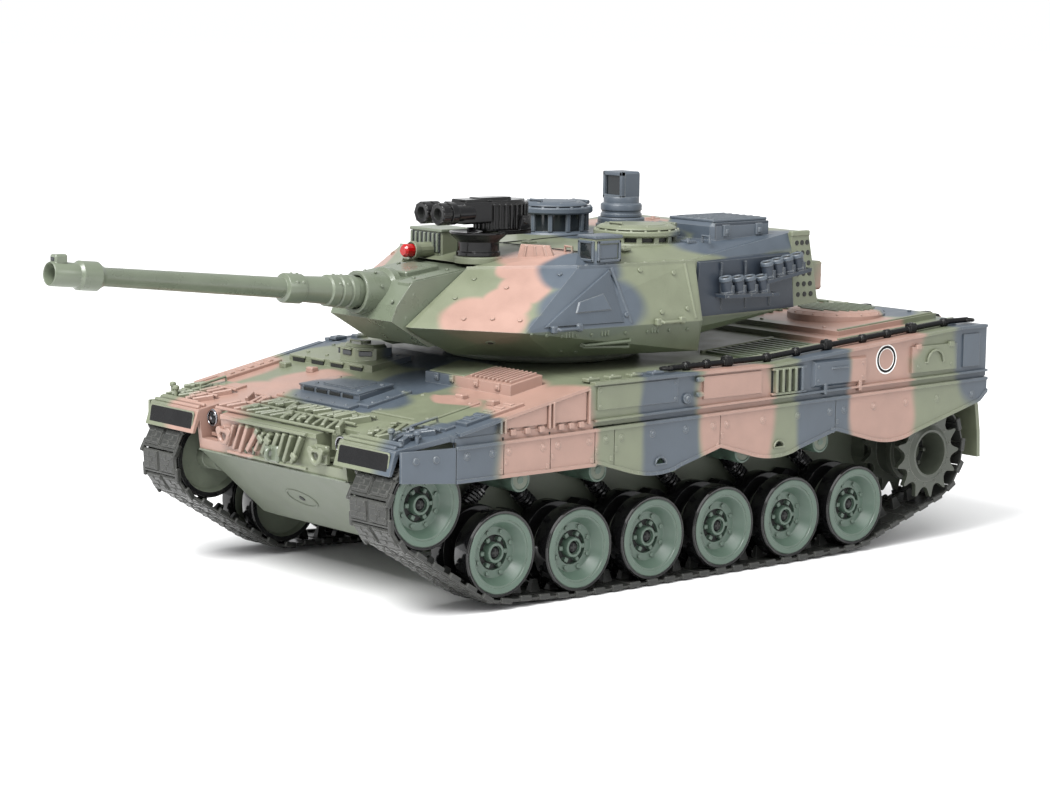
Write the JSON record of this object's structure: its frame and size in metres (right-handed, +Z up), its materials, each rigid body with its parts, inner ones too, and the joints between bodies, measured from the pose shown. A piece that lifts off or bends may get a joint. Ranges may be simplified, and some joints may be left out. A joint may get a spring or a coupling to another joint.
{
  "type": "radio controlled tank",
  "caption": "Radio controlled scale battle tank with a turning turret, elevating gun, sprung road wheels and tracks.",
  "frame": {"origin": "on the ground under the middle of the overall box", "axes": "+Z up, -Y the way the gun points, +X the tank's left side"},
  "size_m": [0.188, 0.4474, 0.167],
  "materials": {
    "olive_plastic": "satin",
    "sage_plastic": "satin",
    "slate_plastic": "satin",
    "dark_green_plastic": "satin",
    "black_plastic": "satin",
    "gloss_black_plastic": "gloss",
    "clear_plastic": "gloss",
    "red_lens": "gloss"
  },
  "bodies": {
    "hull": {"hull_tub": "sage_plastic", "hull_deck": "olive_plastic", "battery_pack": "black_plastic", "circuit_board": "dark_green_plastic", "gearbox_left": "black_plastic", "gearbox_right": "black_plastic", "skirt_left": "slate_plastic", "skirt_right": "slate_plastic", "mudflap_left": "dark_green_plastic", "mudflap_right": "dark_green_plastic", "tow_rod_left": "black_plastic", "tow_rod_right": "black_plastic", "headlight_left": "clear_plastic", "headlight_right": "clear_plastic", "track_left": "black_plastic", "track_right": "black_plastic"},
    "turret": {"turret_ring": "dark_green_plastic", "turret_shell": "olive_plastic", "red_lamp": "red_lens", "smoke_rack_left": "slate_plastic", "smoke_rack_right": "slate_plastic"},
    "gun": {"mantlet": "sage_plastic", "gun_barrel": "sage_plastic"},
    "roof_gun_mount": {"roof_gun_pedestal": "gloss_black_plastic"},
    "panorama_sight": {"panorama_sight": "slate_plastic"},
    "commander_hatch": {"commander_hatch": "slate_plastic"},
    "loader_hatch": {"loader_hatch": "olive_plastic"},
    "roof_gun_pair": {"roof_gun_pair": "gloss_black_plastic"},
    "battery_cover": {"battery_cover": "black_plastic"},
    "power_switch": {"power_switch": "black_plastic"},
    "idler_left": {"idler_left": "sage_plastic"},
    "sprocket_left": {"sprocket_left": "olive_plastic"},
    "swing_arm_left_1": {"swing_arm_left_1": "black_plastic"},
    "road_wheel_left_1": {"road_wheel_left_1": "sage_plastic"},
    "swing_arm_left_2": {"swing_arm_left_2": "black_plastic"},
    "road_wheel_left_2": {"road_wheel_left_2": "sage_plastic"},
    "swing_arm_left_3": {"swing_arm_left_3": "black_plastic"},
    "road_wheel_left_3": {"road_wheel_left_3": "sage_plastic"},
    "swing_arm_left_4": {"swing_arm_left_4": "black_plastic"},
    "road_wheel_left_4": {"road_wheel_left_4": "sage_plastic"},
    "swing_arm_left_5": {"swing_arm_left_5": "black_plastic"},
    "road_wheel_left_5": {"road_wheel_left_5": "sage_plastic"},
    "swing_arm_left_6": {"swing_arm_left_6": "black_plastic"},
    "road_wheel_left_6": {"road_wheel_left_6": "sage_plastic"},
    "idler_right": {"idler_right": "sage_plastic"},
    "sprocket_right": {"sprocket_right": "olive_plastic"},
    "swing_arm_right_1": {"swing_arm_right_1": "black_plastic"},
    "road_wheel_right_1": {"road_wheel_right_1": "sage_plastic"},
    "swing_arm_right_2": {"swing_arm_right_2": "black_plastic"},
    "road_wheel_right_2": {"road_wheel_right_2": "sage_plastic"},
    "swing_arm_right_3": {"swing_arm_right_3": "black_plastic"},
    "road_wheel_right_3": {"road_wheel_right_3": "sage_plastic"},
    "swing_arm_right_4": {"swing_arm_right_4": "black_plastic"},
    "road_wheel_right_4": {"road_wheel_right_4": "sage_plastic"},
    "swing_arm_right_5": {"swing_arm_right_5": "black_plastic"},
    "road_wheel_right_5": {"road_wheel_right_5": "sage_plastic"},
    "swing_arm_right_6": {"swing_arm_right_6": "black_plastic"},
    "road_wheel_right_6": {"road_wheel_right_6": "sage_plastic"}
  },
  "joints": [
    {"name": "turret_traverse", "type": "hinge", "parent": "hull", "child": "turret", "pos_m": [0, 0.02766, 0.0952], "axis": [0, 0, 1], "range_deg": [-160, 160]},
    {"name": "gun_elevation", "type": "hinge", "parent": "turret", "child": "gun", "pos_m": [0, -0.02834, 0.1173], "axis": [-1, 0, 0], "range_deg": [-9, 9]},
    {"name": "panorama_sight_turn", "type": "hinge", "parent": "turret", "child": "panorama_sight", "pos_m": [-0.017, 0.08966, 0.146], "axis": [0, 0, 1], "continuous": true},
    {"name": "commander_hatch_lift", "type": "hinge", "parent": "turret", "child": "commander_hatch", "pos_m": [-0.026, 0.07266, 0.1535], "axis": [-1, 0, 0], "range_deg": [0, 100]},
    {"name": "loader_hatch_lift", "type": "hinge", "parent": "turret", "child": "loader_hatch", "pos_m": [0.033, 0.07216, 0.1474], "axis": [-1, 0, 0], "range_deg": [0, 100]},
    {"name": "roof_gun_turn", "type": "hinge", "parent": "turret", "child": "roof_gun_mount", "pos_m": [0.014, -0.02034, 0.136], "axis": [0, 0, 1], "continuous": true},
    {"name": "roof_gun_elevation", "type": "hinge", "parent": "roof_gun_mount", "child": "roof_gun_pair", "pos_m": [0.014, -0.00334, 0.151], "axis": [-1, 0, 0], "range_deg": [0, 20]},
    {"name": "battery_cover_slide", "type": "slide", "parent": "hull", "child": "battery_cover", "axis": [0, 1, 0], "range_m": [0, 0.07]},
    {"name": "power_switch_slide", "type": "slide", "parent": "hull", "child": "power_switch", "axis": [0, 1, 0], "range_m": [0, 0.005]},
    {"name": "sprocket_left_spin", "type": "hinge", "parent": "hull", "child": "sprocket_left", "pos_m": [0.075, 0.18766, 0.0408], "axis": [1, 0, 0], "continuous": true},
    {"name": "idler_left_spin", "type": "hinge", "parent": "hull", "child": "idler_left", "pos_m": [0.075, -0.10454, 0.0469], "axis": [1, 0, 0], "continuous": true},
    {"name": "swing_arm_left_1_rise", "type": "hinge", "parent": "hull", "child": "swing_arm_left_1", "pos_m": [0.054, -0.08274, 0.0331], "axis": [1, 0, 0], "range_deg": [0, 12], "stiffness_Nm_per_rad": 0.05, "springref_deg": -17.19},
    {"name": "road_wheel_left_1_spin", "type": "hinge", "parent": "swing_arm_left_1", "child": "road_wheel_left_1", "pos_m": [0.075, -0.06574, 0.0231], "axis": [1, 0, 0], "continuous": true},
    {"name": "swing_arm_left_2_rise", "type": "hinge", "parent": "hull", "child": "swing_arm_left_2", "pos_m": [0.054, -0.04074, 0.0305], "axis": [1, 0, 0], "range_deg": [0, 12], "stiffness_Nm_per_rad": 0.05, "springref_deg": -17.19},
    {"name": "road_wheel_left_2_spin", "type": "hinge", "parent": "swing_arm_left_2", "child": "road_wheel_left_2", "pos_m": [0.075, -0.02374, 0.0205], "axis": [1, 0, 0], "continuous": true},
    {"name": "swing_arm_left_3_rise", "type": "hinge", "parent": "hull", "child": "swing_arm_left_3", "pos_m": [0.054, 0.00066, 0.0305], "axis": [1, 0, 0], "range_deg": [0, 12], "stiffness_Nm_per_rad": 0.05, "springref_deg": -17.19},
    {"name": "road_wheel_left_3_spin", "type": "hinge", "parent": "swing_arm_left_3", "child": "road_wheel_left_3", "pos_m": [0.075, 0.01766, 0.0205], "axis": [1, 0, 0], "continuous": true},
    {"name": "swing_arm_left_4_rise", "type": "hinge", "parent": "hull", "child": "swing_arm_left_4", "pos_m": [0.054, 0.04196, 0.0305], "axis": [1, 0, 0], "range_deg": [0, 12], "stiffness_Nm_per_rad": 0.05, "springref_deg": -17.19},
    {"name": "road_wheel_left_4_spin", "type": "hinge", "parent": "swing_arm_left_4", "child": "road_wheel_left_4", "pos_m": [0.075, 0.05896, 0.0205], "axis": [1, 0, 0], "continuous": true},
    {"name": "swing_arm_left_5_rise", "type": "hinge", "parent": "hull", "child": "swing_arm_left_5", "pos_m": [0.054, 0.08306, 0.0305], "axis": [1, 0, 0], "range_deg": [0, 12], "stiffness_Nm_per_rad": 0.05, "springref_deg": -17.19},
    {"name": "road_wheel_left_5_spin", "type": "hinge", "parent": "swing_arm_left_5", "child": "road_wheel_left_5", "pos_m": [0.075, 0.10006, 0.0205], "axis": [1, 0, 0], "continuous": true},
    {"name": "swing_arm_left_6_rise", "type": "hinge", "parent": "hull", "child": "swing_arm_left_6", "pos_m": [0.054, 0.12386, 0.0315], "axis": [1, 0, 0], "range_deg": [0, 12], "stiffness_Nm_per_rad": 0.05, "springref_deg": -17.19},
    {"name": "road_wheel_left_6_spin", "type": "hinge", "parent": "swing_arm_left_6", "child": "road_wheel_left_6", "pos_m": [0.075, 0.14086, 0.0215], "axis": [1, 0, 0], "continuous": true},
    {"name": "sprocket_right_spin", "type": "hinge", "parent": "hull", "child": "sprocket_right", "pos_m": [-0.075, 0.18766, 0.0408], "axis": [1, 0, 0], "continuous": true},
    {"name": "idler_right_spin", "type": "hinge", "parent": "hull", "child": "idler_right", "pos_m": [-0.075, -0.10454, 0.0469], "axis": [1, 0, 0], "continuous": true},
    {"name": "swing_arm_right_1_rise", "type": "hinge", "parent": "hull", "child": "swing_arm_right_1", "pos_m": [-0.054, -0.08274, 0.0331], "axis": [1, 0, 0], "range_deg": [0, 12], "stiffness_Nm_per_rad": 0.05, "springref_deg": -17.19},
    {"name": "road_wheel_right_1_spin", "type": "hinge", "parent": "swing_arm_right_1", "child": "road_wheel_right_1", "pos_m": [-0.075, -0.06574, 0.0231], "axis": [1, 0, 0], "continuous": true},
    {"name": "swing_arm_right_2_rise", "type": "hinge", "parent": "hull", "child": "swing_arm_right_2", "pos_m": [-0.054, -0.04074, 0.0305], "axis": [1, 0, 0], "range_deg": [0, 12], "stiffness_Nm_per_rad": 0.05, "springref_deg": -17.19},
    {"name": "road_wheel_right_2_spin", "type": "hinge", "parent": "swing_arm_right_2", "child": "road_wheel_right_2", "pos_m": [-0.075, -0.02374, 0.0205], "axis": [1, 0, 0], "continuous": true},
    {"name": "swing_arm_right_3_rise", "type": "hinge", "parent": "hull", "child": "swing_arm_right_3", "pos_m": [-0.054, 0.00066, 0.0305], "axis": [1, 0, 0], "range_deg": [0, 12], "stiffness_Nm_per_rad": 0.05, "springref_deg": -17.19},
    {"name": "road_wheel_right_3_spin", "type": "hinge", "parent": "swing_arm_right_3", "child": "road_wheel_right_3", "pos_m": [-0.075, 0.01766, 0.0205], "axis": [1, 0, 0], "continuous": true},
    {"name": "swing_arm_right_4_rise", "type": "hinge", "parent": "hull", "child": "swing_arm_right_4", "pos_m": [-0.054, 0.04196, 0.0305], "axis": [1, 0, 0], "range_deg": [0, 12], "stiffness_Nm_per_rad": 0.05, "springref_deg": -17.19},
    {"name": "road_wheel_right_4_spin", "type": "hinge", "parent": "swing_arm_right_4", "child": "road_wheel_right_4", "pos_m": [-0.075, 0.05896, 0.0205], "axis": [1, 0, 0], "continuous": true},
    {"name": "swing_arm_right_5_rise", "type": "hinge", "parent": "hull", "child": "swing_arm_right_5", "pos_m": [-0.054, 0.08306, 0.0305], "axis": [1, 0, 0], "range_deg": [0, 12], "stiffness_Nm_per_rad": 0.05, "springref_deg": -17.19},
    {"name": "road_wheel_right_5_spin", "type": "hinge", "parent": "swing_arm_right_5", "child": "road_wheel_right_5", "pos_m": [-0.075, 0.10006, 0.0205], "axis": [1, 0, 0], "continuous": true},
    {"name": "swing_arm_right_6_rise", "type": "hinge", "parent": "hull", "child": "swing_arm_right_6", "pos_m": [-0.054, 0.12386, 0.0315], "axis": [1, 0, 0], "range_deg": [0, 12], "stiffness_Nm_per_rad": 0.05, "springref_deg": -17.19},
    {"name": "road_wheel_right_6_spin", "type": "hinge", "parent": "swing_arm_right_6", "child": "road_wheel_right_6", "pos_m": [-0.075, 0.14086, 0.0215], "axis": [1, 0, 0], "continuous": true}
  ],
  "couplings": [
    {"joint": "idler_left_spin", "follows": "sprocket_left_spin", "ratio": 1.2131},
    {"joint": "road_wheel_left_1_spin", "follows": "sprocket_left_spin", "ratio": 1.2131},
    {"joint": "road_wheel_left_2_spin", "follows": "sprocket_left_spin", "ratio": 1.2131},
    {"joint": "road_wheel_left_3_spin", "follows": "sprocket_left_spin", "ratio": 1.2131},
    {"joint": "road_wheel_left_4_spin", "follows": "sprocket_left_spin", "ratio": 1.2131},
    {"joint": "road_wheel_left_5_spin", "follows": "sprocket_left_spin", "ratio": 1.2131},
    {"joint": "road_wheel_left_6_spin", "follows": "sprocket_left_spin", "ratio": 1.2131},
    {"joint": "idler_right_spin", "follows": "sprocket_right_spin", "ratio": 1.2131},
    {"joint": "road_wheel_right_1_spin", "follows": "sprocket_right_spin", "ratio": 1.2131},
    {"joint": "road_wheel_right_2_spin", "follows": "sprocket_right_spin", "ratio": 1.2131},
    {"joint": "road_wheel_right_3_spin", "follows": "sprocket_right_spin", "ratio": 1.2131},
    {"joint": "road_wheel_right_4_spin", "follows": "sprocket_right_spin", "ratio": 1.2131},
    {"joint": "road_wheel_right_5_spin", "follows": "sprocket_right_spin", "ratio": 1.2131},
    {"joint": "road_wheel_right_6_spin", "follows": "sprocket_right_spin", "ratio": 1.2131}
  ]
}
